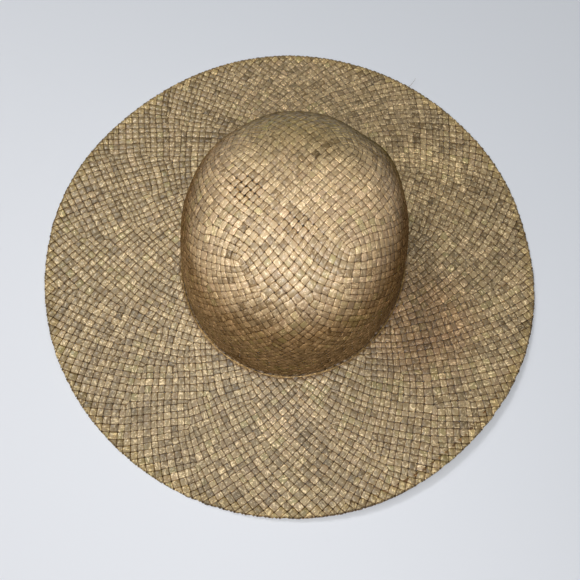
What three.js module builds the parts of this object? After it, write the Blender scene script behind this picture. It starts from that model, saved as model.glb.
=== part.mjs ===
// A wide-brimmed sun hat plaited from flat palm straw, lying on its brim.
// Millimetres, +Z up. The hat's long axis is Y and its front is towards -Y.
// Four pieces: a hollow crown, a brim sheet with a turned-up collar inside the crown's foot,
// a thin cord round the seam where crown and brim meet, and the turned border round the rim.
// Every ring of every piece has the same number of points, so that neighbours face each other flat to flat.

import * as THREE from 'three';

const pointsRound = 80;

// Crown, measured outside from the seam upwards
const crownHalfWidth = 88.3;
const crownHalfDepth = 97.9;
const crownHeight = 106.8;
const wallHeight = 40; // the leaning wall, below the dome
const wallLean = 3.5; // how far the wall leans in over its height; the dome goes on leaning as much
const domeUpPower = 2.41; // 2 is a plain ellipse, more is squarer
const domeInPower = 2.76;
const crownThickness = 1.6;
const wallRings = 2;
const domeRings = 11;

// Soft corners and flats of the crown: where they face, how high their middle is (share of the crown's height),
// how far they stand out (share of the crown's half width), and how far they spread round and up
const crownBulges = [
  { toward: 0, middle: 0.6, out: -0.013, spread: 26, reach: 0.5 },
  { toward: 44, middle: 0.6, out: 0.034, spread: 22, reach: 0.5 },
  { toward: 64, middle: 0.6, out: -0.013, spread: 20, reach: 0.5 },
  { toward: 114, middle: 0.6, out: 0.012, spread: 24, reach: 0.5 },
  { toward: 150, middle: 0.6, out: 0.021, spread: 26, reach: 0.5 },
  { toward: 200, middle: 0.6, out: -0.026, spread: 30, reach: 0.5 },
];

// Brim
const brimRadius = 198.8; // to the outside of the border
const brimToLeft = 2.8; // the brim's middle is this far left of the crown's
const brimToFront = 1.8; // and this far in front of it
const brimThickness = 1.6;
const seamRise = 6; // the brim is this much higher at the seam than at the rim
const flatRim = 16; // the outermost width lies level
const rimLift = 9; // the highest lift of the rim off the table
const collarHeight = 8;
const brimSteps = [0.12, 0.26, 0.42, 0.58, 0.74, 0.88, 1]; // shares of the sheet's width

// Where the rim is lifted off the table, as shares of rimLift; it lies on the table in between
const rimLifts = [
  { toward: 318, lift: 1, spread: 66 },
  { toward: 95, lift: 0.25, spread: 42 },
  { toward: 207, lift: 0.25, spread: 30 },
];

// Where the rim runs outside or inside a true circle, as shares of the brim's radius
const rimWaves = [
  { toward: 20, out: -0.0086, spread: 26 },
  { toward: 52, out: -0.0106, spread: 28 },
  { toward: 82, out: -0.0106, spread: 28 },
  { toward: 110, out: -0.0057, spread: 28 },
  { toward: 140, out: -0.0079, spread: 28 },
  { toward: 176, out: 0.0101, spread: 30 },
  { toward: 240, out: -0.004, spread: 34 },
  { toward: 322, out: -0.0075, spread: 26 },
];

// Border and cord
const borderWidth = 6;
const borderThickness = 2.4;
const borderRoundSteps = 4;
const cordDiameter = 1.8;
const cordSides = 6;

const gap = 0.3; // between pieces that touch on the real hat

// A smooth bump of height 1 that is exactly 0 beyond its spread
const bump = (distance, spread) =>
  Math.abs(distance) < spread ? 0.5 * (1 + Math.cos((Math.PI * distance) / spread)) : 0;
const turnBetween = (a, b) => THREE.MathUtils.euclideanModulo(a - b + 180, 360) - 180;
const sumOf = (rows, value) => rows.reduce((sum, row) => sum + value(row), 0);

// The crown's outline, as shares of its half width and half depth, and its foot

// The crown narrows by this share of its half width for each millimetre up
const leanShare = wallLean / wallHeight / crownHalfWidth;

function crownProfile() {
  const profile = [];
  for (let i = 0; i < wallRings; i += 1) {
    const height = (wallHeight * i) / wallRings;
    profile.push({ share: 1 - leanShare * height, height });
  }
  for (let i = 0; i < domeRings; i += 1) {
    const turn = (i / domeRings) * (Math.PI / 2);
    const height = wallHeight + (crownHeight - wallHeight) * Math.sin(turn) ** (2 / domeUpPower);
    profile.push({ share: (1 - leanShare * height) * Math.cos(turn) ** (2 / domeInPower), height });
  }
  return profile;
}

// The outward direction of the profile at each of its points, from its neighbours
function profileNormals(profile) {
  const mean = (crownHalfWidth + crownHalfDepth) / 2;
  const top = { share: 0, height: crownHeight };
  return profile.map((point, i) => {
    const before = profile[Math.max(i - 1, 0)];
    const after = profile[i + 1] ?? top;
    return new THREE.Vector2(after.height - before.height, (before.share - after.share) * mean).normalize();
  });
}

const bulgeAt = (degrees, height) =>
  1 + sumOf(crownBulges, ({ toward, middle, out, spread, reach }) =>
    out * bump(turnBetween(degrees, toward), spread) * bump(height / crownHeight - middle, reach));

// A ring of points round the hat; the place of each comes from its angle
function ring(place) {
  return Array.from({ length: pointsRound }, (_, i) => place((i * 360) / pointsRound));
}

function crownRing({ share, height }, normal, inset) {
  return ring((degrees) => {
    const angle = THREE.MathUtils.degToRad(degrees);
    const bulge = bulgeAt(degrees, height);
    const alongX = crownHalfWidth * share * bulge - inset * normal.x;
    const alongY = crownHalfDepth * share * bulge - inset * normal.x;
    return new THREE.Vector3(alongX * Math.cos(angle), alongY * Math.sin(angle), height - inset * normal.y);
  });
}

// The brim, by spokes from the crown's foot to the rim

function spoke(degrees) {
  const angle = THREE.MathUtils.degToRad(degrees);
  const radius = brimRadius * (1 + sumOf(rimWaves, ({ toward, out, spread }) =>
    out * bump(turnBetween(degrees, toward), spread)));
  const foot = new THREE.Vector2(crownHalfWidth * Math.cos(angle), crownHalfDepth * Math.sin(angle));
  const rim = new THREE.Vector2(
    radius * Math.cos(angle) - brimToLeft,
    radius * Math.sin(angle) - brimToFront,
  );
  return { angle, foot, rim, length: foot.distanceTo(rim) };
}

// The height of the sheet's middle, at a distance out from the crown's foot
function brimMiddle(degrees, out, length) {
  const slope = Math.max(0, 1 - Math.max(out, 0) / (length - flatRim));
  const lift = rimLift * sumOf(rimLifts, (row) => row.lift * bump(turnBetween(degrees, row.toward), row.spread));
  return borderThickness / 2 + seamRise * slope ** 2 + lift * (Math.max(out, 0) / length) ** 1.8;
}

const seamMiddle = borderThickness / 2 + seamRise;
const seamTop = seamMiddle + brimThickness / 2;
const crownFoot = seamTop + gap;

// A point of a spoke: out is measured from the crown's foot, and is negative inside it
function onSpoke({ angle, foot, rim, length }, out, height) {
  if (out < 0) {
    return new THREE.Vector3(
      (crownHalfWidth + out) * Math.cos(angle),
      (crownHalfDepth + out) * Math.sin(angle),
      height,
    );
  }
  const place = foot.clone().lerp(rim, out / length);
  return new THREE.Vector3(place.x, place.y, height);
}

// Makes one closed body of rings. A tube's last ring meets its first;
// otherwise the first and last rings are closed by fans to their two tips.
function bodyOfRings(rings, tips = null) {
  const positions = rings.flat().flatMap((point) => point.toArray());
  const triangles = [];
  const pairs = tips ? rings.length - 1 : rings.length;
  for (let r = 0; r < pairs; r += 1) {
    const here = r * pointsRound;
    const there = ((r + 1) % rings.length) * pointsRound;
    for (let i = 0; i < pointsRound; i += 1) {
      const j = (i + 1) % pointsRound;
      triangles.push(here + i, here + j, there + j, here + i, there + j, there + i);
    }
  }
  if (tips) {
    const firstTip = rings.length * pointsRound;
    const lastRing = (rings.length - 1) * pointsRound;
    positions.push(...tips[0].toArray(), ...tips[1].toArray());
    for (let i = 0; i < pointsRound; i += 1) {
      const j = (i + 1) % pointsRound;
      triangles.push(firstTip, j, i, firstTip + 1, lastRing + i, lastRing + j);
    }
  }
  const body = new THREE.BufferGeometry();
  body.setAttribute('position', new THREE.Float32BufferAttribute(positions, 3));
  body.setIndex(triangles);
  body.computeVertexNormals();
  return body;
}

// A tube round the hat, from its section: a list of points that each take a spoke to a place on it.
// The section is given counter-clockwise, with out to the right and height up.
function tubeOfSection(section) {
  const rings = section.map((pointOf) => ring((degrees) => {
    const here = spoke(degrees);
    const { out, height } = pointOf(degrees, here.length);
    return onSpoke(here, out, height);
  }));
  return bodyOfRings(rings);
}

function crown() {
  const profile = crownProfile();
  const normals = profileNormals(profile);
  const level = new THREE.Vector2(1, 0);
  const outside = profile.map((point, i) => crownRing(point, normals[i], 0));
  const inside = profile.map((point, i) => crownRing(point, i === 0 ? level : normals[i], crownThickness));
  const tips = [crownHeight - crownThickness, crownHeight].map((height) => new THREE.Vector3(0, 0, height));
  return bodyOfRings([...inside.reverse(), ...outside], tips).translate(0, 0, crownFoot);
}

function brim() {
  const collarOut = -(crownThickness + gap);
  const collarLean = (wallLean / wallHeight) * (collarHeight + gap);
  const bend = [180, 225, 270].map((turn) => THREE.MathUtils.degToRad(turn)).map((turn) => () => ({
    out: collarOut + brimThickness * Math.cos(turn),
    height: seamTop + brimThickness * Math.sin(turn),
  }));
  const sheet = (side) => brimSteps.map((share) => (degrees, length) => {
    const out = share * (length - borderWidth - gap);
    return { out, height: brimMiddle(degrees, out, length) + (side * brimThickness) / 2 };
  });
  const seam = (side) => () => ({ out: 0, height: seamMiddle + (side * brimThickness) / 2 });
  return tubeOfSection([
    () => ({ out: collarOut - brimThickness - collarLean, height: seamTop + collarHeight }),
    ...bend,
    seam(-1),
    ...sheet(-1),
    ...sheet(1).reverse(),
    seam(1),
    () => ({ out: collarOut, height: seamTop }),
    () => ({ out: collarOut - collarLean, height: seamTop + collarHeight }),
  ]);
}

function rimBorder() {
  const radius = borderThickness / 2;
  const atEdge = (inward, up) => (degrees, length) => ({
    out: length - inward,
    height: brimMiddle(degrees, length, length) + up,
  });
  const round = Array.from({ length: borderRoundSteps + 1 }, (_, i) => {
    const turn = Math.PI * (i / borderRoundSteps - 0.5);
    return atEdge(radius * (1 - Math.cos(turn)), radius * Math.sin(turn));
  });
  return tubeOfSection([atEdge(borderWidth, -radius), ...round, atEdge(borderWidth, radius)]);
}

function seamCord() {
  const radius = cordDiameter / 2;
  const middle = gap + radius;
  return tubeOfSection(Array.from({ length: cordSides }, (_, i) => {
    const turn = (i * 2 * Math.PI) / cordSides;
    return () => ({ out: middle + radius * Math.cos(turn), height: seamTop + middle + radius * Math.sin(turn) });
  }));
}

const straw = (name, color, roughness) => new THREE.MeshStandardMaterial({ name, color, roughness, metalness: 0 });
const plaitedStraw = straw('plaited straw', '#a48f6e', 0.68);
const borderStraw = straw('border straw', '#a08a5c', 0.7);
const cordStraw = straw('cord straw', '#b7a078', 0.75);

function piece(name, geometry, material) {
  const mesh = new THREE.Mesh(geometry, material);
  mesh.name = name;
  return mesh;
}

const hat = new THREE.Group();
hat.add(
  piece('crown', crown(), plaitedStraw),
  piece('brim', brim(), plaitedStraw),
  piece('seam_cord', seamCord(), cordStraw),
  piece('rim_border', rimBorder(), borderStraw),
);

// The origin is under the middle of the hat, on the table
const extent = new THREE.Box3().setFromObject(hat, true);
const middle = extent.getCenter(new THREE.Vector3());
hat.position.set(-middle.x, -middle.y, -extent.min.z);

export default hat;
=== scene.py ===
# A wide-brimmed sun hat plaited from flat palm straw, lying on its brim on a pale table.
import math
import bpy
import numpy as np
from mathutils import Matrix, Vector


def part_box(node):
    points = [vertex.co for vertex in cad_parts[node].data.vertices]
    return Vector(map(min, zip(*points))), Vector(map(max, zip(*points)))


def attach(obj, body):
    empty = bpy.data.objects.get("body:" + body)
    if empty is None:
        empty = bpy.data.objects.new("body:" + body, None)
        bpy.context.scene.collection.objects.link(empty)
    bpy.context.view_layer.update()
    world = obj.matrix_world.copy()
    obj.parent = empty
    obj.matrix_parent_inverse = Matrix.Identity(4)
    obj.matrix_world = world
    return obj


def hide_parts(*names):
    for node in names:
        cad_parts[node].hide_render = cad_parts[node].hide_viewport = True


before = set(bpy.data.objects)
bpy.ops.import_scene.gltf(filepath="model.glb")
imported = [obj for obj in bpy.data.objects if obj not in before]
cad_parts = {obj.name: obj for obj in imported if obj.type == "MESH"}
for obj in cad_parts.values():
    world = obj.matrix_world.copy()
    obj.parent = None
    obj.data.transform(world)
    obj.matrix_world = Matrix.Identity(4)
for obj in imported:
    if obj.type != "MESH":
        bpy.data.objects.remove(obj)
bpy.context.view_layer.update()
mm = 0.001


# Camera: a phone held above the hat's front, a little to its right
photoView = {
    "turn": math.radians(10.5),  # round from straight in front
    "rise": math.radians(73.1),  # above the table
    "distance": 469.5 * mm,
    "aimRight": 2.0 * mm,  # from the crown's middle
    "aimFront": 27.4 * mm,
    "lens": 36.06,
    "sensor": 36.0,
    "clip": (0.01, 20),
}


def setCamera(view):
    low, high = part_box("crown")
    middle = (Vector(low) + Vector(high)) / 2
    aim = Vector((middle.x + view["aimRight"], middle.y - view["aimFront"], 0))
    flat = math.cos(view["rise"])
    back = Vector((math.sin(view["turn"]) * flat, -math.cos(view["turn"]) * flat, math.sin(view["rise"])))
    right = Vector((math.cos(view["turn"]), math.sin(view["turn"]), 0))
    up = back.cross(right)
    camera = bpy.data.objects.new("camera", bpy.data.cameras.new("camera"))
    bpy.context.collection.objects.link(camera)
    camera.data.sensor_width = view["sensor"]
    camera.data.lens = view["lens"]
    camera.data.clip_start, camera.data.clip_end = view["clip"]
    camera.matrix_world = Matrix.Translation(aim + back * view["distance"]) @ Matrix(
        (right, up, back)).transposed().to_4x4()
    bpy.context.scene.camera = camera


setCamera(photoView)
print("camera set")


# The hat's shape: lengths in metres, angles in degrees, the rest shares of the lengths that they follow

def bump(distance, spread):
    return np.where(np.abs(distance) < spread, 0.5 + 0.5 * np.cos(np.pi * distance / spread), 0.0)


def turnBetween(a, b):
    return (a - b + 180) % 360 - 180


def rowsOf(names, *rows):
    return [dict(zip(names.split(), row)) for row in rows]


crownLow, crownHigh = (np.array(corner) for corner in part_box("crown"))

crownShape = {
    "middle": (crownLow + crownHigh) / 2,
    "halfWidth": (crownHigh[0] - crownLow[0]) / 2,
    "halfDepth": (crownHigh[1] - crownLow[1]) / 2,
    "foot": crownLow[2],
    "height": crownHigh[2] - crownLow[2],
    "wallShare": 40 / 106.8,
    "leanShare": 3.5 / 40 * 106.8 / 88.3,  # how much narrower at the top, as a share of the half width
    "upPower": 2.41,
    "inPower": 2.76,
    "bulges": rowsOf("toward middle out spread reach", (0, 0.6, -0.013, 26, 0.5), (44, 0.6, 0.034, 22, 0.5),
                     (64, 0.6, -0.013, 20, 0.5), (114, 0.6, 0.012, 24, 0.5), (150, 0.6, 0.021, 26, 0.5),
                     (200, 0.6, -0.026, 30, 0.5)),
    "inset": 0.6 * mm,  # the plait's middle lies this far inside the wall's outside
    "below": 4 * mm,  # the wall's run past the foot, for strips that are cut there
    "steps": (240, 60),  # of the meridian, over the dome and down the wall
}

brimShape = {
    "radius": 198.8 * mm,
    "toLeft": 2.8 * mm,
    "toFront": 1.8 * mm,
    "rise": 6 * mm,
    "flatRim": 16 * mm,
    "lift": 9 * mm,
    "restHeight": 1.2 * mm,  # the sheet's middle above the table where it rests
    "collarInset": 2.7 * mm,  # the collar's middle inside the crown's foot
    "bend": 1.2 * mm,
    "foldRadius": 0.6 * mm,  # of the turn at the rim
    "edgeInset": 1.15 * mm,  # the turn's middle line lies this far inside the outline
    "foldRaise": 0.55 * mm,  # the upper layer rises by this at the rim
    "foldReach": 9 * mm,
    "liftPower": 1.8,  # how late the lift sets in on the way out
    "lifts": rowsOf("toward lift spread", (318, 1.0, 66), (95, 0.25, 42), (207, 0.25, 30)),
    "waves": rowsOf("toward out spread", (20, -0.0086, 26), (52, -0.0106, 28), (82, -0.0106, 28),
                    (110, -0.0057, 28), (140, -0.0079, 28), (176, 0.0101, 30), (240, -0.004, 34),
                    (322, -0.0075, 26)),
    "flatBase": 93 * mm,  # radius of the seam on the flat plan
    "flatSpan": 105 * mm,  # from the seam to the rim on the flat plan
}


# The crown's meridian, from the top down: arc length, share of the half width, height above the foot
def crownMeridian(shape):
    domeSteps, wallSteps = shape["steps"]
    turn = np.linspace(math.pi / 2, 0, domeSteps)
    wall = shape["height"] * shape["wallShare"]
    domeHeight = wall + (shape["height"] - wall) * np.sin(turn) ** (2 / shape["upPower"])
    domeShare = np.cos(turn) ** (2 / shape["inPower"])
    wallHeight = np.linspace(wall, -shape["below"], wallSteps)[1:]
    height = np.concatenate((domeHeight, wallHeight))
    share = np.concatenate((domeShare, np.ones(len(wallHeight))))
    share = share * (1 - shape["leanShare"] * height / shape["height"])
    share[0] = 0
    mean = (shape["halfWidth"] + shape["halfDepth"]) / 2
    steps = np.hypot(np.diff(share * mean), np.diff(height))
    return np.concatenate(([0], np.cumsum(steps))), share, height


crownArc, crownShare, crownHeight = crownMeridian(crownShape)


# Places on the crown's outside, from a flat plan on which the radius is the arc length from the top
def crownPlace(plan):
    shape = crownShape
    arc = np.hypot(plan[:, 0], plan[:, 1])
    angle = np.arctan2(plan[:, 1], plan[:, 0])
    degrees = np.degrees(angle)
    share = np.interp(arc, crownArc, crownShare)
    height = np.interp(arc, crownArc, crownHeight)
    bulge = 1 + sum(
        row["out"] * bump(turnBetween(degrees, row["toward"]), row["spread"])
        * bump(height / shape["height"] - row["middle"], row["reach"])
        for row in shape["bulges"])
    x = shape["middle"][0] + shape["halfWidth"] * share * bulge * np.cos(angle)
    y = shape["middle"][1] + shape["halfDepth"] * share * bulge * np.sin(angle)
    return np.stack((x, y, shape["foot"] + height), axis=1)


# Spokes from the crown's foot to the rim: the foot's point, the direction and the length
def spokes(angle):
    degrees = np.degrees(angle)
    radius = brimShape["radius"] * (1 + sum(
        row["out"] * bump(turnBetween(degrees, row["toward"]), row["spread"])
        for row in brimShape["waves"]))
    around = np.stack((np.cos(angle), np.sin(angle)), axis=1)
    foot = around * (crownShape["halfWidth"], crownShape["halfDepth"])
    rim = around * radius[:, None] - (brimShape["toLeft"], brimShape["toFront"])
    length = np.linalg.norm(rim - foot, axis=1)
    return around, foot, (rim - foot) / length[:, None], length


def brimHeight(angle, out, length):
    degrees = np.degrees(angle)
    slope = np.clip(1 - out / (length - brimShape["flatRim"]), 0, 1)
    lift = brimShape["lift"] * sum(
        row["lift"] * bump(turnBetween(degrees, row["toward"]), row["spread"])
        for row in brimShape["lifts"])
    slant = brimShape["rise"] * slope ** 2
    return brimShape["restHeight"] + slant + lift * (out / length) ** brimShape["liftPower"]


# Places on the brim's middle layer, from a flat plan. Inside the seam the sheet turns up as a collar;
# past the rim it turns under and runs back, unless unfolded is asked for.
def brimPlace(plan, unfolded=False):
    shape = brimShape
    angle = np.arctan2(plan[:, 1], plan[:, 0])
    run = np.hypot(plan[:, 0], plan[:, 1]) - shape["flatBase"]
    around, foot, along, length = spokes(angle)
    edge = length - shape["edgeInset"]
    past = np.maximum(run - shape["flatSpan"], 0)
    inside = np.minimum(run, 0)
    out = np.clip(run, 0, shape["flatSpan"]) / shape["flatSpan"] * edge
    height = brimHeight(angle, out, length)
    seam = shape["restHeight"] + shape["rise"]
    if unfolded:
        flat = foot + along * (out + past)[:, None] + around * inside[:, None]
        return np.stack((flat[:, 0], flat[:, 1], height), axis=1) + (*crownShape["middle"][:2], 0)
    raised = 0.5 - 0.5 * np.cos(np.pi * np.clip((out - edge) / shape["foldReach"] + 1, 0, 1))
    height = height + shape["foldRaise"] * raised
    turn = np.minimum(past / shape["foldRadius"], math.pi)
    back = np.maximum(past - math.pi * shape["foldRadius"], 0)
    out = out + shape["foldRadius"] * np.sin(turn) - back
    height = height - shape["foldRadius"] * (1 - np.cos(turn))
    # the collar: level up to its inset, then a quarter turn, then up
    level = shape["collarInset"] - shape["bend"]
    bendTurn = np.clip((-inside - level) / shape["bend"], 0, math.pi / 2)
    rise = np.maximum(-inside - level - shape["bend"] * math.pi / 2, 0)
    inward = np.minimum(-inside, level) + shape["bend"] * np.sin(bendTurn)
    lean = crownShape["leanShare"] * crownShape["halfWidth"] / crownShape["height"]
    height = np.where(inside < 0, seam + shape["bend"] * (1 - np.cos(bendTurn)) + rise, height)
    flat = foot + along * out[:, None] - around * (inward + lean * rise)[:, None]
    return np.stack((flat[:, 0], flat[:, 1], height), axis=1) + (*crownShape["middle"][:2], 0)


def brimPlan(plan):
    return brimPlace(plan, unfolded=True)


def slopes(place, plan, step=0.05 * mm):
    here = place(plan)
    return here, (place(plan + (step, 0)) - here) / step, (place(plan + (0, step)) - here) / step


# The plait's net: its cells are the crossings of two strips. It grows outwards ring by ring. Between two
# neighbouring cells of a row lies one cell of the next, or two where a bent strip is put in, as a V.

def wrap(angle):
    return (angle + math.pi) % (2 * math.pi) - math.pi


def growNet(startAngles, centre, ringRadius, ringCount, chooseInserts):
    plan = []
    cells = []
    rows = []
    rings = []

    def addPoint(angle, radius):
        plan.append((radius * math.cos(angle), radius * math.sin(angle)))
        return len(plan) - 1

    count = len(startAngles)
    half = math.pi / count
    if centre:
        middle = addPoint(0, 0)
        inner = [middle] * count
    else:
        inner = [addPoint(angle + half, ringRadius(0)) for angle in startAngles]
        rings.append(list(inner))
    ring = [(addPoint(angle, ringRadius(1)), angle) for angle in startAngles]
    pairs = [(inner[i], ring[i], ring[(i + 1) % count]) for i in range(count)]
    rings.append([point for point, angle in ring])
    for row in range(2, ringCount + 1):
        outer = []
        for low, (right, rightAngle), (left, leftAngle) in pairs:
            angle = rightAngle + ((leftAngle - rightAngle) % (2 * math.pi)) / 2
            tip = addPoint(angle, ringRadius(row))
            cells.append((low, right, tip, left))
            rows.append(row - 1)
            outer.append((tip, angle))
        inserts = chooseInserts(row, ring)
        nextRing = []
        nextPairs = []
        for i, (point, angle) in enumerate(ring):
            before = outer[i - 1]
            after = outer[i]
            if i in inserts:
                added = (addPoint(angle, ringRadius(row)), angle)
                nextRing += [added, after]
                nextPairs += [(point, before, added), (point, added, after)]
            else:
                nextRing.append(after)
                nextPairs.append((point, before, after))
        # the pair numbered k lies between ring points k and k + 1
        order = {point: k for k, (point, angle) in enumerate(nextRing)}
        pairs = sorted(nextPairs, key=lambda pair: order[pair[1][0]])
        ring = nextRing
        rings.append([point for point, angle in ring])
    return np.array(plan), np.array(cells), np.array(rows), rings


# Numbers the cells' sides, so that two cells that meet share one
def numberSides(cells):
    ends = np.stack((cells, np.roll(cells, -1, axis=1)), axis=-1)
    ends = np.sort(ends, axis=-1).reshape(-1, 2)
    return np.unique(ends, axis=0, return_inverse=True)[1].reshape(cells.shape)


# Follows each strip through opposite sides; gives lists of (cell, side that it comes in by)
def followStrips(cells, number):
    users = [[] for side in range(number.max() + 1)]
    for cell in range(len(cells)):
        for side in range(4):
            users[number[cell, side]].append((cell, side))
    done = set()
    strips = []

    def follow(cell, side):
        path = []
        while (cell, side % 2) not in done:
            done.add((cell, side % 2))
            path.append((cell, side))
            onward = [user for user in users[number[cell, (side + 2) % 4]] if user[0] != cell]
            if not onward:
                break
            cell, side = onward[0]
        return path

    for user in users:
        if len(user) == 1 and (user[0][0], user[0][1] % 2) not in done:
            strips.append(follow(*user[0]))
    for cell in range(len(cells)):
        for side in (0, 1):
            if (cell, side) not in done:
                strips.append(follow(cell, side))
    return strips


relaxing = {
    "push": 1.25,  # each point moves by this much of the way that it is asked to
    "longest": 2 * mm,  # but never farther than this in one round
}


# Moves the net's points over the surface until each cell is as near as it can be to the rectangle
# that its two strips' widths ask for
def relaxNet(plan, place, cells, widths, rounds, held):
    plan = plan.copy()
    uses = np.maximum(np.bincount(cells.ravel(), minlength=len(plan)), 1)
    across, along = widths / 2
    wanted = np.stack((-across - 1j * along, across - 1j * along,
                       across + 1j * along, -across + 1j * along), axis=1)
    for turn in range(rounds):
        here, slopeX, slopeY = slopes(place, plan)
        corners = here[cells]
        middle = corners.mean(axis=1)
        first = corners[:, 2] - corners[:, 0]
        normal = np.cross(first, corners[:, 3] - corners[:, 1])
        normal /= np.linalg.norm(normal, axis=1)[:, None]
        first -= normal * np.sum(first * normal, axis=1)[:, None]
        first /= np.linalg.norm(first, axis=1)[:, None]
        second = np.cross(normal, first)
        arms = corners - middle[:, None]
        flat = np.sum(arms * first[:, None], axis=2) + 1j * np.sum(arms * second[:, None], axis=2)
        spin = np.sum(flat * np.conj(wanted), axis=1)
        target = wanted * (spin / np.abs(spin))[:, None]
        goal = (middle[:, None] + target.real[..., None] * first[:, None]
                + target.imag[..., None] * second[:, None])
        total = [np.bincount(cells.ravel(), goal[..., k].ravel(), len(plan)) for k in range(3)]
        move = (np.stack(total, axis=1) / uses[:, None] - here) * relaxing["push"]
        xx, xy, yy = (np.sum(a * b, axis=1)
                      for a, b in ((slopeX, slopeX), (slopeX, slopeY), (slopeY, slopeY)))
        mx, my = (np.sum(a * move, axis=1) for a in (slopeX, slopeY))
        step = np.stack((yy * mx - xy * my, xx * my - xy * mx), axis=1) / (xx * yy - xy * xy)[:, None]
        size = np.linalg.norm(step, axis=1)
        step *= np.minimum(1, relaxing["longest"] / np.maximum(size, 1e-9))[:, None]
        plan += step
        for points, radius in held:
            plan[points] *= (radius / np.linalg.norm(plan[points], axis=1))[:, None]
    return plan


# Strips as ribbons

def smoothAlong(points, places):
    padded = np.concatenate(([2 * points[0] - points[1]], points, [2 * points[-1] - points[-2]]))
    low = np.clip(places.astype(int), 0, len(points) - 2)
    t = (places - low)[:, None]
    a, b, c, d = (padded[low + k] for k in range(4))
    square = (2 * a - 5 * b + 4 * c - d) * t ** 2
    cube = (3 * b - a - 3 * c + d) * t ** 3
    return 0.5 * (2 * b + (c - a) * t + square + cube)


ribbonSection = {
    "across": np.array((-1, -0.84, 0, 0.84, 1, 0)),
    "up": np.array((0, 0.8, 1, 0.8, 0, -0.9)),
}

plait = {
    "halfThickness": 0.22 * mm,
    "rideHeight": 0.42 * mm,
    "stops": (0, 0.16, 0.5, 0.84),  # where a crossing is sampled along the strip
    "fill": 0.945,  # share of a cell's width that its strip takes up
    "tilt": 0.24 * mm,  # how far a crossing's edges may tip up or down
    "nominalHalf": 2.4 * mm,  # the strip's half width in its UV map
    "humpPower": 2.8,  # of the hump at a crossing: 2 is round, more is flatter
    "spread": 0.12,  # how much the strips' widths differ
    "widths": (0.72, 1.3),  # and how far they may go
    "pinchReach": 2.5,  # rows on each side of a fold over which the strip is narrower
    "fillSpread": 0.025,  # how much a strip's fill differs from crossing to crossing
    "fillRange": (0.96, 1.03),  # and from strip to strip
    "patternShift": 0.37,  # how far each strip's pattern is moved along it, in metres
    "patternStep": 5 * mm,  # and how far for each crossing cut off at its start
}


def crossingHump(t):
    return 1 - np.abs(2 * t - 1) ** plait["humpPower"]


# Makes one mesh of closed tubes: rings of so many points, and how many rings each tube has
def tubeMesh(name, points, sides, runs, uv, tone):
    quads = []
    caps = []
    start = 0
    corner = np.arange(sides)
    nextCorner = (corner + 1) % sides
    for run in runs:
        ring = start + np.arange(run - 1)[:, None] * sides
        quad = (ring + corner, ring + nextCorner, ring + sides + nextCorner, ring + sides + corner)
        quads.append(np.stack(quad, axis=2).reshape(-1, 4))
        caps.append(start + corner[::-1])
        caps.append(start + (run - 1) * sides + corner)
        start += run * sides
    quads = np.concatenate(quads)
    caps = np.array(caps)
    corners = np.concatenate((quads.ravel(), caps.ravel()))
    starts = np.concatenate((np.arange(len(quads)) * 4, len(quads) * 4 + np.arange(len(caps)) * sides))
    mesh = bpy.data.meshes.new(name)
    mesh.vertices.add(len(points))
    mesh.vertices.foreach_set("co", points.ravel())
    mesh.loops.add(len(corners))
    mesh.loops.foreach_set("vertex_index", corners)
    mesh.polygons.add(len(starts))
    mesh.polygons.foreach_set("loop_start", starts)
    mesh.update(calc_edges=True)
    mesh.polygons.foreach_set("use_smooth", np.ones(len(starts), dtype=bool))
    mesh.uv_layers.new(name="along").data.foreach_set("uv", uv[corners].ravel())
    mesh.attributes.new("tone", "FLOAT_COLOR", "POINT").data.foreach_set("color", tone.ravel())
    mesh.validate()
    piece = bpy.data.objects.new(name, mesh)
    bpy.context.collection.objects.link(piece)
    print(name, len(quads) * 2 + len(caps) * (sides - 2), "triangles")
    return piece


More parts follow.
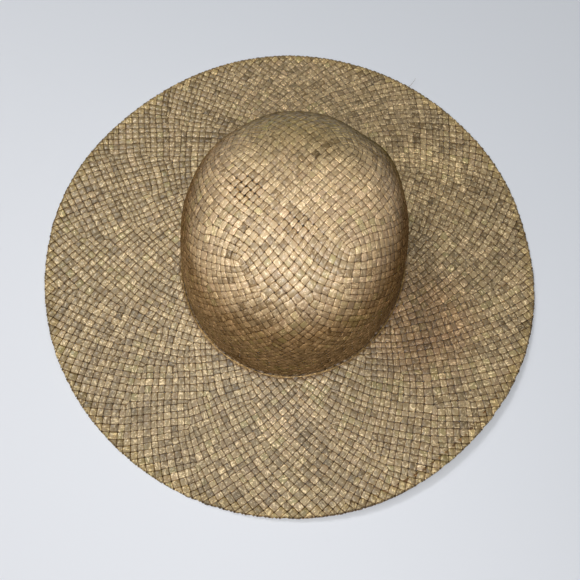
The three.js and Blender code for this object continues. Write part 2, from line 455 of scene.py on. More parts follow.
class RibbonPile:
    def __init__(self, nearest=0, farthest=1):
        self.limits = (nearest, farthest)  # strips are cut off at these radii of the plan
        self.plan, self.lift, self.uv, self.tone, self.runs = [], [], [], [], []

    def add(self, left, right, over, tilt, fill, tone, cellTone, startLength):
        count = len(over)
        stops = np.array(plait["stops"])
        places = np.append((np.arange(count)[:, None] + stops).ravel(), count)
        cell = np.minimum(places.astype(int), count - 1)
        t = places - cell
        hump = crossingHump(t)
        leftLine = smoothAlong(left, places)
        rightLine = smoothAlong(right, places)
        middle = (leftLine + rightLine) / 2
        reach = (rightLine - leftLine) / 2 * np.interp(places, np.arange(len(fill)), fill)[:, None]
        across = ribbonSection["across"]
        plan = middle[:, None] + reach[:, None] * across[:, None]
        lift = (hump * over[cell] * plait["rideHeight"])[:, None] + (hump * tilt[cell])[:, None] * across
        lift = lift + ribbonSection["up"] * plait["halfThickness"]
        steps = np.linalg.norm(np.diff(middle, axis=0), axis=1)
        length = startLength + np.concatenate(([0], np.cumsum(steps)))
        uv = np.stack(np.broadcast_arrays(length[:, None], plait["nominalHalf"] * across), axis=2)
        shade = np.empty((len(places), len(across), 4))
        shade[..., 0] = tone[0]
        shade[..., 1] = tone[1]
        shade[..., 2] = cellTone[cell][:, None]
        shade[..., 3] = (0.5 + 0.5 * hump * over[cell])[:, None]
        radius = np.linalg.norm(plan, axis=2)
        nearest, farthest = self.limits
        inside = np.flatnonzero((radius.max(axis=1) > nearest) & (radius.min(axis=1) < farthest))
        if len(inside) < 2:
            return
        kept = slice(max(inside[0] - 1, 0), inside[-1] + 2)
        plan = plan * (np.clip(radius, *self.limits) / radius)[..., None]
        self.plan.append(plan[kept])
        self.lift.append(lift[kept])
        self.uv.append(uv[kept])
        self.tone.append(shade[kept])
        self.runs.append(len(plan[kept]))

    def mesh(self, name, place, inset):
        plan = np.concatenate(self.plan).reshape(-1, 2)
        lift = np.concatenate(self.lift).ravel()
        uv = np.concatenate(self.uv).reshape(-1, 2)
        tone = np.concatenate(self.tone).reshape(-1, 4)
        here, slopeX, slopeY = slopes(place, plan)
        normal = np.cross(slopeX, slopeY)
        normal /= np.linalg.norm(normal, axis=1)[:, None]
        points = here + normal * (lift - inset)[:, None]
        return tubeMesh(name, points, len(ribbonSection["across"]), self.runs, uv, tone)


# Colours the net's points in turn, which settles which strip of each crossing lies on top
def twoColour(cells, count):
    colour = np.full(count, -1)
    neighbours = [[] for point in range(count)]
    for corners in cells:
        for k in range(4):
            a, b = corners[k], corners[(k + 1) % 4]
            neighbours[a].append(b)
            neighbours[b].append(a)
    colour[cells[0][0]] = 0
    queue = [cells[0][0]]
    while queue:
        point = queue.pop()
        for other in neighbours[point]:
            if colour[other] < 0:
                colour[other] = 1 - colour[point]
                queue.append(other)
    return colour


# Each strip has its own width, and is narrower near the fold where it was put in
def stripWidths(strips, cells, rows, rng, bias, pinch, pinchFrom):
    widths = np.ones((2, len(cells)))
    for path in strips:
        factor = float(np.clip(rng.normal(1, plait["spread"]), *plait["widths"])) * bias(path)
        cell = np.array([c for c, side in path])
        side = np.array([s for c, s in path])
        folds = np.flatnonzero((cells[cell[:-1], 0] == cells[cell[1:], 0]) & (rows[cell[1:]] > pinchFrom))
        along = np.arange(len(path))
        share = np.full(len(path), factor)
        for fold in folds:
            share *= 1 - pinch * np.exp(-np.abs(along - fold - 0.5) / plait["pinchReach"])
        widths[side % 2, cell] = share
    return widths


def nearestOf(ring, angle):
    return min(range(len(ring)), key=lambda i: abs(wrap(ring[i][1] - angle)))


# Where strips are put in: at random, but well apart from one another and from those of the last few rows
def addInserts(inserts, recent, wanted, row, ring, drawAngle, style):
    count = len(ring)
    tries = 0
    while wanted > 0 and tries < style["tries"]:
        tries += 1
        nearest = nearestOf(ring, drawAngle(row))
        place = ring[nearest][1]
        near = any(min((nearest - i) % count, (i - nearest) % count) < style["apart"] for i in inserts)
        late = any(abs(wrap(place - angle)) < style["lateApart"] * math.pi / count
                   and row - before < style["lateRows"] for angle, before in recent)
        if near or late:
            continue
        inserts.append(nearest)
        recent.append((place, row))
        wanted -= 1
    return inserts


# Crown

crownPlait = {
    "cell": 4.85 * mm,
    "axis": math.radians(57),  # the first of the top patch's four corners
    "patchRows": (12, 15, 12, 13),  # rows to each corner, in turn from the axis
    "widthAcross": (0.93, 1.07),  # strips of the top patch that run along the axis, and across it
    "patchReach": 45 * mm,  # how far from the top a strip counts as one of the patch
    "patchRings": 10,  # rings before strips are put in anywhere
    "jump": 4 * mm,  # how much farther out the rings past the patch lie
    "cornerRows": 20,  # until this row most strips are put in near the four corners
    "cornerShares": (0.75, 0.2),  # the share that is, until then and after
    "cornerSpread": 0.24,  # how far from the corners, in radians
    "tries": 500,
    "apart": 4,  # places of a ring between two strips that are put in
    "lateApart": 5,  # half places to one of the last few rows
    "lateRows": 3,
    "rounds": (100, 220),  # of relaxing, with even widths and then with each strip's own
    "pinch": 0.25,
    "pinchFrom": 17,
    "spare": 3 * mm,  # the net runs on past the foot by this and two rings more
    "kept": 2 * mm,  # crossings past the foot by less than this are made
    "cut": 0.2 * mm,  # and their strips are cut off this far past it
    "loose": [  # where the strips leave small holes: place, reach and how narrow
        {"x": -28 * mm, "y": 3 * mm, "reach": 15 * mm, "share": 0.21},
        {"x": 10.5 * mm, "y": -15 * mm, "reach": 12 * mm, "share": 0.17},
    ],
    "seed": 11,
}


def crownLooseness(plan):
    here = crownPlace(plan)
    narrower = 0
    for row in crownPlait["loose"]:
        away = np.hypot(here[:, 0] - row["x"], here[:, 1] - row["y"]) / row["reach"]
        narrower = narrower + row["share"] * np.clip(1 - away ** 2, 0, 1)
    return narrower


footArc = float(np.interp(0, -crownHeight, crownArc))


def crownNet(style):
    rng = np.random.default_rng(style["seed"])
    row = style["cell"] / math.sqrt(2)
    mean = (crownShape["halfWidth"] + crownShape["halfDepth"]) / 2
    lastRing = int((footArc - style["spare"]) / row) + 2

    def arcOf(ring):
        return ring * row + (style["jump"] if ring > style["patchRings"] else 0)

    def countAt(ring):
        share = np.interp(arcOf(ring), crownArc, crownShare)
        return 2 * math.pi * share * mean / (math.sqrt(2) * style["cell"])

    axes = [style["axis"] + k * math.pi / 2 for k in range(4)]
    early, later = style["cornerShares"]
    recent = []

    def drawAngle(row):
        if rng.random() < (early if row < style["cornerRows"] else later):
            return axes[rng.integers(4)] + rng.normal(0, style["cornerSpread"])
        return rng.uniform(-math.pi, math.pi)

    def chooseInserts(row, ring):
        inserts = [nearestOf(ring, axis) for axis, last in zip(axes, style["patchRows"]) if row <= last]
        missing = int(round(countAt(row))) - len(ring) - len(inserts)
        wanted = missing if row > style["patchRings"] else 0
        return addInserts(inserts, recent, wanted, row, ring, drawAngle, style)

    return growNet(axes, True, arcOf, lastRing, chooseInserts)


# The strips of the top patch get their width from the way that they run there
def patchBias(plan, cells, style):
    def bias(path):
        inPatch = [(cell, side) for cell, side in path
                   if np.linalg.norm(plan[cells[cell]].mean(axis=0)) < style["patchReach"]]
        if not inPatch:
            return 1.0
        cell, side = inPatch[len(inPatch) // 2]
        corners = plan[cells[cell]]
        way = corners[side] + corners[(side + 1) % 4] - corners[(side + 2) % 4] - corners[(side + 3) % 4]
        alongAxis = abs(math.cos(math.atan2(way[1], way[0]) - style["axis"])) > 0.7
        return style["widthAcross"][0 if alongAxis else 1]
    return bias


def ribbonsOf(plan, cells, strips, colour, rng, keep, limits, looseness=None):
    piles = {}
    for number, path in enumerate(strips):
        cell = np.array([c for c, side in path])
        side = np.array([s for c, s in path])
        left = np.append(cells[cell, side], cells[cell[-1], (side[-1] + 3) % 4])
        right = np.append(cells[cell, (side + 1) % 4], cells[cell[-1], (side[-1] + 2) % 4])
        over = np.where(colour[left[:-1]] == 0, -1.0, 1.0)
        tilt = rng.uniform(-1, 1, len(path)) * plait["tilt"]
        fill = plait["fill"] * (1 + rng.normal(0, plait["fillSpread"], len(path) + 1))
        fill = fill * rng.uniform(*plait["fillRange"])
        if looseness:
            fill = fill * (1 - looseness((plan[left] + plan[right]) / 2))
        tone = rng.random(2)
        cellTone = rng.random(len(path))
        part = np.array([keep(c, number) for c in cell])
        start = 0
        while start < len(path):
            end = start
            while end < len(path) and part[end] == part[start]:
                end += 1
            if part[start]:
                pile = piles.setdefault(part[start], RibbonPile(*limits))
                shift = number * plait["patternShift"] + start * plait["patternStep"]
                pile.add(plan[left[start:end + 1]], plan[right[start:end + 1]], over[start:end],
                         tilt[start:end], fill[start:end + 1], tone, cellTone[start:end], shift)
            start = end
    return piles


def buildCrown(style):
    rng = np.random.default_rng(style["seed"] + 1)
    plan, cells, rows, rings = crownNet(style)
    number = numberSides(cells)
    strips = followStrips(cells, number)
    evenRounds, ownRounds = style["rounds"]
    plan = relaxNet(plan, crownPlace, cells, np.full((2, len(cells)), style["cell"]), evenRounds, [])
    bias = patchBias(plan, cells, style)
    widths = stripWidths(strips, cells, rows, rng, bias, style["pinch"], style["pinchFrom"])
    plan = relaxNet(plan, crownPlace, cells, widths * style["cell"], ownRounds, [])
    colour = twoColour(cells, len(plan))
    arcs = np.linalg.norm(plan[cells].mean(axis=1), axis=1)

    def keep(cell, strip):
        if arcs[cell] > footArc + style["kept"]:
            return ""
        return ("crown_strips_a", "crown_strips_b")[strip % 2]

    limits = (0, footArc + style["cut"])
    piles = ribbonsOf(plan, cells, strips, colour, rng, keep, limits, crownLooseness)
    print("crown:", len(cells), "crossings,", len(strips), "strips")
    return [pile.mesh(name, crownPlace, crownShape["inset"]) for name, pile in sorted(piles.items())]


# Brim

brimPlait = {
    "innerCell": 4.8 * mm,
    "outerCell": 5.3 * mm,
    "pinch": 0.35,
    "collarRun": 10 * mm,  # from the seam in and up
    "rowsInCollar": 3,
    "underRun": 8.5 * mm,  # from the rim back under
    "underRows": 2,
    "tries": 1500,
    "apart": 5,
    "lateApart": 7,
    "lateRows": 4,
    "rounds": 200,
    "seed": 5,
}


def brimNet(style):
    rng = np.random.default_rng(style["seed"])
    shape = brimShape
    span = shape["flatSpan"]
    rowCount = int(round(span / ((style["innerCell"] + style["outerCell"]) / 2 / math.sqrt(2))))
    inner = style["rowsInCollar"]
    total = inner + rowCount + style["underRows"] + 1
    sizes = np.interp(np.arange(rowCount), (0, rowCount - 1), (style["innerCell"], style["outerCell"]))
    runs = np.concatenate(([0], np.cumsum(sizes))) * span / sizes.sum()

    def radiusOf(ring):
        step = ring - inner
        if step < 0:
            return shape["flatBase"] + step * style["innerCell"] / math.sqrt(2)
        if step > rowCount:
            return shape["flatBase"] + span + (step - rowCount) * style["outerCell"] / math.sqrt(2)
        return shape["flatBase"] + runs[step]

    def countAt(ring):
        radius = radiusOf(ring)
        cell = np.interp(radius - shape["flatBase"], (0, span), (style["innerCell"], style["outerCell"]))
        return 2 * math.pi * radius / (math.sqrt(2) * cell)

    startCount = int(round(countAt(inner)))
    rimRow = inner + rowCount
    recent = []

    def drawAngle(row):
        return rng.uniform(-math.pi, math.pi)

    def chooseInserts(row, ring):
        wanted = int(round(countAt(row))) - len(ring) if inner + 1 < row < rimRow - 1 else 0
        return addInserts([], recent, wanted, row, ring, drawAngle, style)

    angles = [2 * math.pi * k / startCount for k in range(startCount)]
    plan, cells, rows, rings = growNet(angles, False, radiusOf, total, chooseInserts)
    held = [(rings[row], radiusOf(row)) for row in (0, rimRow)]
    rowCell = np.interp([radiusOf(row) - shape["flatBase"] for row in rows], (0, span),
                        (style["innerCell"], style["outerCell"]))
    return plan, cells, rows, held, rowCell, rimRow


def buildBrim(style):
    rng = np.random.default_rng(style["seed"] + 1)
    plan, cells, rows, held, rowCell, rimRow = brimNet(style)
    number = numberSides(cells)
    strips = followStrips(cells, number)
    widths = stripWidths(strips, cells, rows, rng, lambda path: 1.0, style["pinch"], 0)
    plan = relaxNet(plan, brimPlan, cells, widths * rowCell, style["rounds"], held)
    colour = twoColour(cells, len(plan))

    def keep(cell, strip):
        if rows[cell] >= rimRow - 1:
            return "rim_fold"
        return ("brim_strips_a", "brim_strips_b", "brim_strips_c")[strip % 3]

    limits = (-style["collarRun"] + brimShape["flatBase"],
              brimShape["flatSpan"] + style["underRun"] + brimShape["flatBase"])
    piles = ribbonsOf(plan, cells, strips, colour, rng, keep, limits)
    print("brim:", len(cells), "crossings,", len(strips), "strips")
    return [pile.mesh(name, brimPlace, 0) for name, pile in sorted(piles.items())]


crownPieces = buildCrown(crownPlait)
brimPieces = buildBrim(brimPlait)


# Shader maths: wraps a socket, so that sums, products and colours can be written out

class Wire:
    def __init__(self, tree, socket=None):
        self.tree = tree
        self.socket = socket

    def make(self, kind, settings, values, output=0):
        node = self.tree.nodes.new(kind)
        for name, value in settings.items():
            if name == "stops":
                ramp = node.color_ramp.elements
                while len(ramp) < len(value):
                    ramp.new(1)
                for stop, (place, colour) in zip(ramp, value):
                    stop.position = place
                    stop.color = (*colour, 1)
            else:
                setattr(node, name, value)
        for name, value in values.items():
            if isinstance(value, Wire):
                self.tree.links.new(value.socket, node.inputs[name])
            else:
                node.inputs[name].default_value = value
        return Wire(self.tree, node.outputs[output] if node.outputs else None)

    def maths(self, operation, *values):
        return self.make("ShaderNodeMath", {"operation": operation}, dict(enumerate(values)))

    __add__ = __radd__ = lambda self, other: self.maths("ADD", self, other)
    __sub__ = lambda self, other: self.maths("SUBTRACT", self, other)
    __rsub__ = lambda self, other: self.maths("SUBTRACT", other, self)
    __mul__ = __rmul__ = lambda self, other: self.maths("MULTIPLY", self, other)

    def size(self):
        return self.maths("ABSOLUTE", self)

    def smooth(self, low, high):
        return self.make("ShaderNodeMapRange", {"interpolation_type": "SMOOTHSTEP"},
                         {"Value": self, "From Min": low, "From Max": high})

    def mix(self, share, other):
        return self.make("ShaderNodeMix", {"data_type": "RGBA"}, {0: share, 6: self, 7: other}, 2)

    def times(self, colour):
        return self.make("ShaderNodeMix", {"data_type": "RGBA", "blend_type": "MULTIPLY"},
                         {0: 1.0, 6: self, 7: (*colour, 1)}, 2)

    def shaded(self, factor):
        return self.make("ShaderNodeVectorMath", {"operation": "SCALE"}, {0: self, "Scale": factor})

    def parts(self):
        return [self.make("ShaderNodeSeparateXYZ", {}, {0: self}, k) for k in range(3)]

    def joined(self, x, y, z):
        return self.make("ShaderNodeCombineXYZ", {}, {0: x, 1: y, 2: z})

    def noise(self, place, scale, detail, roughness):
        return self.make("ShaderNodeTexNoise", {},
                         {"Vector": place, "Scale": scale, "Detail": detail, "Roughness": roughness})


# The strips' colours in sunlight, and how often each comes
strawLook = {
    "colours": [
        (0.00, (0.270, 0.182, 0.082)),  # brown
        (0.10, (0.335, 0.235, 0.116)),
        (0.34, (0.385, 0.278, 0.138)),  # tan
        (0.58, (0.425, 0.315, 0.163)),  # pale tan
        (0.76, (0.400, 0.280, 0.152)),  # pinkish
        (0.90, (0.365, 0.280, 0.128)),  # khaki
        (1.00, (0.315, 0.255, 0.112)),  # olive
    ],
    "choices": {"kind": 0.8, "patches": 0.4, "crossing": 0.2, "clouds": 0.9},  # what a colour hangs on
    "light": 0.80,
    "stripShade": 0.14,
    "crossingShade": 0.19,
    "cloudShade": 0.35,
    "patchShade": 0.6,
    "fleckShade": 0.4,
    "glintNoise": (0.53, 0.63),
    "edgeGlintFrom": (1.9 * mm, 2.3 * mm),
    "holeFrom": (1.5 * mm, 2.3 * mm),
    "holeDepth": (0.5, 0.85),
    "gapShade": (0.47, 0.32, 0.18),  # painted shade where a strip dives under the next
    "dive": (0.5, 0.66),
    "holeShade": (0.16, 0.11, 0.07),  # painted shade in the small holes between four strips
    "fibre": 0.2,
    "pale": (0.98, 0.77, 0.45),  # painted highlights: the pale colour of a crossing's glint patches
    "glint": 0.85,  # how much of a crossing the painted glints take up
    "edge": 0.45,  # painted highlight: how much lighter a strip's one thin edge is
    "roughness": 0.34,
    "gloss": 0.5,
    "bump": 0.7,
    "bumpDepth": 0.12 * mm,
}

# How often each pattern repeats along and across a strip, by how much it differs from strip to strip,
# and its detail and roughness
strawPatterns = {
    "fibres": (90, 1300, 50, 0, 3.0, 0.65),
    "patches": (90, 220, 80, 7, 2.0, 0.5),
    "glintNoise": (420, 800, 40, 3, 2.0, 0.6),
    "flecks": (400, 700, 30, 0, 3.0, 0.7),
}
cloudPattern = {"scale": 26.0, "detail": 2.0, "roughness": 0.6}


def strawMaterial(name, look, tint=(1, 1, 1), stainsAndPaintedLight=(), graded=None, ring=None):
    material = bpy.data.materials.new(name)
    material.use_nodes = True
    tree = material.node_tree
    tree.nodes.clear()
    start = Wire(tree)
    u, v = start.make("ShaderNodeUVMap", {"uv_map": "along"}, {}).parts()[:2]
    tone = start.make("ShaderNodeAttribute", {"attribute_name": "tone"}, {})
    kind, shade, crossing = tone.parts()
    depth = start.make("ShaderNodeAttribute", {"attribute_name": "tone"}, {}, 3)
    place = start.make("ShaderNodeTexCoord", {}, {}, 3)
    fibres, patches, glintNoise, flecks = (
        start.noise(start.joined(u * along, v * across, kind * differs + shift), 1.0, detail, roughness)
        for along, across, differs, shift, detail, roughness in strawPatterns.values())
    clouds = start.noise(place, *cloudPattern.values())
    choices = look["choices"]
    choice = (0.5 + (kind - 0.5) * choices["kind"] + (patches - 0.5) * choices["patches"]
              + (crossing - 0.5) * choices["crossing"] + (clouds - 0.5) * choices["clouds"])
    colour = start.make("ShaderNodeValToRGB", {"stops": look["colours"]}, {0: choice})
    light = (look["light"] + (shade - 0.5) * (2 * look["stripShade"])
             + (crossing - 0.5) * (2 * look["crossingShade"]) + (fibres - 0.5) * (4 * look["fibre"])
             + (patches - 0.5) * look["patchShade"] + (clouds - 0.5) * look["cloudShade"])
    # Painted highlight along one thin edge of each strip
    edge = v.smooth(*look["edgeGlintFrom"]) * patches.smooth(0.35, 0.55)
    light = light * (1 + edge * look["edge"])
    light = light * (1 - flecks.smooth(0.6, 0.8) * look["fleckShade"])
    # Painted highlights: pale glint patches mixed into the strips' colour
    colour = colour.mix(glintNoise.smooth(*look["glintNoise"]) * look["glint"], (*look["pale"], 1)).shaded(light)
    # Painted shade where a strip dives under the next
    dive = depth.smooth(*look["dive"])
    colour = colour.mix(1 - dive, colour.times(look["gapShade"]))
    # Painted shade in the small holes between four strips, near their corners
    deep = 1 - depth.smooth(*look["holeDepth"])
    hole = v.size().smooth(*look["holeFrom"]) * deep * glintNoise.smooth(0.3, 0.5)
    colour = colour.mix(hole, colour.times(look["holeShade"]))
    coat = 0.0
    # A colour grade along one axis: on the crown it is painted light on the top and painted shade on the
    # wall; on the cord it is lighter in front
    if graded:
        along = place.parts()[graded["axis"]] + (clouds - 0.5) * graded["ragged"]
        top = along.smooth(*graded["between"])
        colour = colour.times(graded["below"]).mix(top, colour.times(graded["above"]))
        coat = top * graded["gloss"]
    # Tinted places: a real green stain on the crown, the rest painted light and shade
    for tintSpot in stainsAndPaintedLight:
        away = start.make("ShaderNodeVectorMath", {"operation": "DISTANCE"},
                          {0: place, 1: tintSpot["middle"]}, 1)
        spotShare = 1 - away.smooth(tintSpot["reach"] * spotCore, tintSpot["reach"])
        spotShare = spotShare * (0.6 + patches * 0.6) * tintSpot["strength"]
        colour = colour.mix(spotShare, colour.times(tintSpot["colour"]))
    # Painted shade in a ring round a part: the shadow on the brim at the crown's foot, and the dark edge
    # along the rim
    if ring:
        radius = start.make("ShaderNodeVectorMath", {"operation": "LENGTH"}, {0: start.make(
            "ShaderNodeMapping", {"vector_type": "TEXTURE"}, {
                "Vector": place, "Location": ring["middle"], "Scale": ring["radii"]})}, 1)
        share = radius.smooth(*ring["between"])
        colour = colour.mix(share, colour.times(ring["colour"]))
    if tint != (1, 1, 1):
        colour = colour.times(tint)
    relief = fibres * 0.5 + flecks * 0.3 + glintNoise * 0.5
    normal = start.make("ShaderNodeBump", {}, {
        "Strength": look["bump"], "Distance": look["bumpDepth"], "Height": relief})
    rough = look["roughness"] + (fibres - 0.5) * 0.3 + (1 - dive) * 0.25
    surface = start.make("ShaderNodeBsdfPrincipled", {}, {
        "Base Color": colour, "Roughness": rough, "Normal": normal, "Coat Weight": coat,
        "Coat Roughness": 0.3, "Specular IOR Level": look["gloss"] if not graded else 0.0})
    start.make("ShaderNodeOutputMaterial", {}, {"Surface": surface})
    return material


# Tinted places, one real stain and painted light and shade: middle and reach in metres, and the colour that
# multiplies the straw's
spotCore = 0.35  # the share of its reach within which a tinted place is full
crownStainsAndShade = rowsOf(
    "middle reach strength colour",
    ((0.068, 0.096, 0.048), 0.072, 0.95, (0.50, 0.64, 0.38)),  # green, at the back right
    ((-0.002, 0.104, 0.092), 0.110, 1.0, (0.46, 0.47, 0.35)),  # painted shade, over the back
    ((0.098, -0.005, 0.062), 0.076, 0.8, (0.52, 0.45, 0.37)),  # painted shade, at the right
    ((-0.088, 0.005, 0.080), 0.062, 0.8, (0.60, 0.55, 0.47)))  # painted shade, at the left
brimLightAndShade = rowsOf(
    "middle reach strength colour",
    ((0.112, -0.034, 0.005), 0.062, 0.85, (0.78, 0.64, 0.56)),  # painted shadow of the crown, browner, at the right
    ((0.101, 0.094, 0.003), 0.055, 0.8, (1.34, 1.34, 1.30)),  # painted light, at the back right
    ((0.030, -0.112, 0.005), 0.048, 0.8, (1.12, 1.13, 1.20)))  # painted highlight, paler and bluer, at the front

# Painted light and shade on the crown: its top is painted lighter, its wall darker and browner, as light
# falls from above
crownLightAndShade = {
    "axis": 2,
    "between": (78 * mm, 107 * mm),
    "below": (0.62, 0.53, 0.44),
    "above": (1.34, 1.38, 1.50),
    "ragged": 6 * mm,
    "gloss": 0.8,
}

# The brim is painted darkest right at the crown's foot (painted shadow), and the rim's very edge is painted
# dark too (painted shade)
def ringOf(node, between, colour):
    low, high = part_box(node)
    return {"middle": ((low[0] + high[0]) / 2, (low[1] + high[1]) / 2, 0),
            "radii": ((high[0] - low[0]) / 2, (high[1] - low[1]) / 2, 1000),
            "between": between, "colour": colour}


footShadow = ringOf("seam_cord", (1.03, 1.0), (0.55, 0.46, 0.35))
rimEdgeShade = ringOf("rim_border", (0.990, 0.998), (0.45, 0.35, 0.24))

plaitedStraw = strawMaterial("plaited_straw_strips", strawLook, stainsAndPaintedLight=brimLightAndShade, ring=footShadow)
crownLook = {**strawLook, "gapShade": (0.56, 0.43, 0.28), "dive": (0.5, 0.62),
             "stripShade": 0.12, "crossingShade": 0.15, "glint": 0.5, "edge": 0.9, "cloudShade": 0.15}
crownStraw = strawMaterial("crown_straw_strips", crownLook, tint=(1.0, 0.965, 0.97),
                           stainsAndPaintedLight=crownStainsAndShade, graded=crownLightAndShade)
borderStraw = strawMaterial("border_straw_strips", strawLook, tint=(1.02, 1.0, 0.86), ring=rimEdgeShade)


def dress(piece, material, slot, *nodes):
    piece.data.materials.append(material)
    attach(piece, "root")
    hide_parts(*nodes)


for piece in crownPieces:
    dress(piece, crownStraw, "plaited_straw", "crown")
for piece in brimPieces:
    if piece.name == "rim_fold":
        dress(piece, borderStraw, "border_straw", "rim_border")
    else:
        dress(piece, plaitedStraw, "plaited_straw", "brim")


# Thin strands along lines of points, joined as one mesh
def strands(name, lines):
    sides = 6
    turn = -np.arange(sides) * 2 * np.pi / sides
    points, uv, tone = [], [], []
    for line, radii, shade in lines:
        radii = np.broadcast_to(radii, len(line))
        ahead = np.gradient(line, axis=0)
        ahead /= np.linalg.norm(ahead, axis=1)[:, None]
        side = np.cross(ahead, (0, 0, 1.0))
        side /= np.maximum(np.linalg.norm(side, axis=1), 1e-9)[:, None]
        up = np.cross(side, ahead)
        ring = line[:, None] + radii[:, None, None] * (
            np.cos(turn)[:, None] * side[:, None] + np.sin(turn)[:, None] * up[:, None])
        length = np.concatenate(([0], np.cumsum(np.linalg.norm(np.diff(line, axis=0), axis=1))))
        around = np.broadcast_arrays(length[:, None], np.sin(turn) * 0.4 * mm)
        points.append(ring.reshape(-1, 3))
        uv.append(np.stack(around, axis=2).reshape(-1, 2))
        tone.append(np.tile(shade, (len(line) * sides, 1)))
    runs = [len(line) for line, radii, shade in lines]
    return tubeMesh(name, np.concatenate(points), sides, runs, np.concatenate(uv), np.concatenate(tone))


# Seam cord: two thin strands laid round the crown's foot, which fray where they end at the front right
seamCord = {
    "strandRadius": 0.33 * mm,
    "apart": 0.36 * mm,
    "start": -57.0,  # degrees round the foot
    "round": 352,
    "points": 700,
    "turnsOfTwist": 9,
    "twistFrom": 0.9,
    "wander": 0.07 * mm,
    "wanderEvery": 7,  # points
    "frays": 9,
    "frayLength": (5 * mm, 11 * mm),
    "frayRadius": 0.13 * mm,
    "frayRise": (-0.4, 3.2),  # of a fray's tip, in millimetres
    "frayOut": (0.2, 3.4),
    "footRadius": 93 * mm,
    "seed": 3,
}


def footRing(degrees, outward, height):
    low, high = (np.array(corner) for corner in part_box("seam_cord"))
    middle = (low + high) / 2
    turn = np.radians(degrees)
    halfX, halfY = (high - low)[:2] / 2 - (high[2] - low[2]) / 2
    around = np.stack((np.cos(turn), np.sin(turn)), axis=1)
    flat = middle[:2] + around * (halfX, halfY) + around * np.reshape(outward, (-1, 1))
    return np.column_stack((flat, np.broadcast_to(middle[2] + height, len(turn))))


def buildSeamCord(style):
    rng = np.random.default_rng(style["seed"])
    count = style["points"]
    degrees = style["start"] - np.linspace(0, style["round"], count)
    twist = np.radians(degrees) * style["turnsOfTwist"] + style["twistFrom"]
    bends = np.arange(0, count, style["wanderEvery"])
    lines = []
    for strand in (0, math.pi):
        wander = np.interp(np.arange(count), bends, rng.normal(0, style["wander"], len(bends)))
        out = np.cos(twist + strand) * style["apart"] + wander
        line = footRing(degrees, out, np.sin(twist + strand) * style["apart"])
        lines.append((line, style["strandRadius"], (0.5 + 0.1 * math.cos(strand), 0.85, 0.6, 1)))
    share = np.linspace(0, 1, 9)
    for number in range(style["frays"]):
        fromEnd = number % 3 == 0
        length = rng.uniform(*style["frayLength"])
        base = style["start"] - (style["round"] + rng.uniform(-2, 1) if fromEnd else rng.uniform(-3, 0))
        run = share * np.degrees(length / style["footRadius"])
        rise = share ** 1.6 * rng.uniform(*style["frayRise"]) * mm
        out = share ** 1.4 * rng.uniform(*style["frayOut"]) * mm
        line = footRing(base - run if fromEnd else base + run, out, rise)
        lines.append((line, style["frayRadius"] * (1.2 - 0.8 * share), (0.55, 0.9, 0.7, 1)))
    return strands("seam_strands", lines)


lightInFront = {
    "axis": 1,
    "between": (-85 * mm, -55 * mm),
    "below": (1.1, 0.98, 0.82),
    "above": (0.55, 0.47, 0.34),
    "ragged": 6 * mm,
    "gloss": 0.0,
}
cordStraw = strawMaterial("cord_straw_strand", strawLook, graded=lightInFront)
dress(buildSeamCord(seamCord), cordStraw, "cord_straw", "seam_cord")
print("seam cord made")


# A stray fibre that stands out of the rim at the back right
strayFibre = {
    "from": (74.5 * mm, 180 * mm),
    "to": (81 * mm, 191 * mm),
    "bow": 0.8 * mm,
    "height": 2.2 * mm,
    "rise": 1.2 * mm,
    "radius": 0.16 * mm,
}


def buildStrayFibre(style):
    share = np.linspace(0, 1, 8)
    flat = np.outer(1 - share, style["from"]) + np.outer(share, style["to"])
    flat[:, 0] += np.sin(share * math.pi) * style["bow"]
    line = np.column_stack((flat, style["height"] + share ** 2 * style["rise"]))
    return strands("stray_fibre", [(line, style["radius"] * (1.1 - 0.6 * share), (0.2, 0.3, 0.5, 1))])


dress(buildStrayFibre(strayFibre), borderStraw, "border_straw", "rim_border")


# The table
table = {
    "size": 6.0,
    "drop": 0.05 * mm,  # below the hat
    "far": (0.72, 0.75, 0.80),  # painted shade: darker towards the back right
    "near": (0.79, 0.81, 0.855),  # painted light: lighter towards the front left
    "toNear": (-0.45, -0.9),
    "between": (-0.3, 0.3),
    "roughness": 0.6,
}


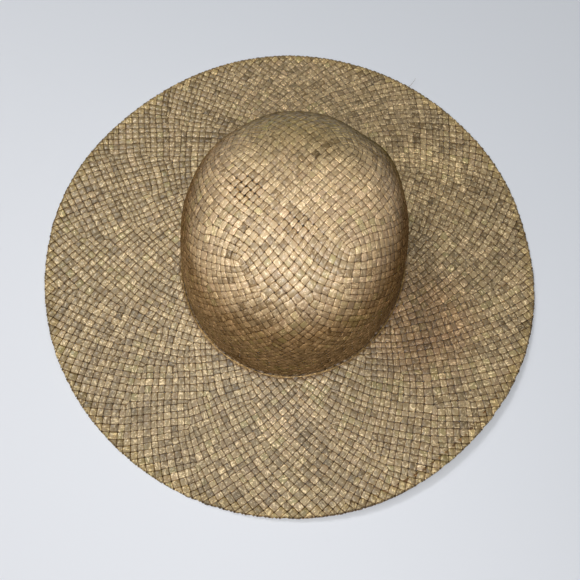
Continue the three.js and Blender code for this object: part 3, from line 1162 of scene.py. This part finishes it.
def buildTable(style):
    bpy.ops.object.select_all(action="DESELECT")
    bpy.ops.mesh.primitive_plane_add(size=style["size"], location=(0, 0, -style["drop"]))
    floor = bpy.context.object
    floor.name = "table"
    bpy.ops.object.transform_apply(location=True)
    material = bpy.data.materials.new("table_paint")
    material.use_nodes = True
    tree = material.node_tree
    surface = tree.nodes["Principled BSDF"]
    surface.inputs["Roughness"].default_value = style["roughness"]
    x, y = Wire(tree).make("ShaderNodeTexCoord", {}, {}, 3).parts()[:2]
    # Painted light and shade: the table grades from darker at the back right to lighter at the front left
    near = (x * style["toNear"][0] + y * style["toNear"][1]).smooth(*style["between"])
    colour = near.make("ShaderNodeMix", {"data_type": "RGBA"},
                       {0: near, 6: (*style["far"], 1), 7: (*style["near"], 1)}, 2)
    tree.links.new(colour.socket, surface.inputs["Base Color"])
    floor.data.materials.append(material)


# Lights: a window high on the left, the room round the hat, and two small ones for the gleam in front
hatMiddle = (0, 0, 0.03)
roomLights = rowsOf(
    "name place size power",
    ("window", (-1.04, 0.6, 1.85), 0.45, 12),
    ("room_left", (-1.27, -0.46, 1.73), 1.4, 12),
    ("room_front", (-0.4, -1.3, 1.73), 0.8, 9),
    ("room_right", (0.96, -0.96, 1.73), 0.8, 11.5),
    ("room_back", (0.96, 0.96, 1.73), 0.8, 3.8),
    ("front", (0.028, -0.155, 0.46), 0.02, 0.33))
crownLight = {
    "name": "crown_light",
    "place": (0.064, -0.452, 1.534),
    "aim": (-0.012, -0.02, 0.1),
    "cone": 6.5,  # degrees
    "size": 0.1,
    "power": 84,
}
roomGlow = {"colour": (0.92, 0.96, 1.0, 1), "strength": 0.02}


def addLight(kind, style, aim):
    light = bpy.data.lights.new(style["name"], kind)
    light.energy = style["power"]
    lamp = bpy.data.objects.new(style["name"], light)
    bpy.context.collection.objects.link(lamp)
    lamp.location = style["place"]
    lamp.rotation_euler = (Vector(aim) - Vector(style["place"])).to_track_quat("-Z", "Y").to_euler()
    lamp.visible_camera = False
    return light


buildTable(table)
for row in roomLights:
    lamp = addLight("AREA", row, hatMiddle)
    lamp.shape = "DISK"
    lamp.size = row["size"]
spot = addLight("SPOT", crownLight, crownLight["aim"])
spot.spot_size = math.radians(crownLight["cone"])
spot.spot_blend = 1
spot.shadow_soft_size = crownLight["size"]
bpy.context.scene.view_settings.view_transform = "Standard"
room = bpy.data.worlds.new("room")
room.use_nodes = True
glow = room.node_tree.nodes["Background"].inputs
glow["Color"].default_value = roomGlow["colour"]
glow["Strength"].default_value = roomGlow["strength"]
bpy.context.scene.world = room
print("table and lights set")
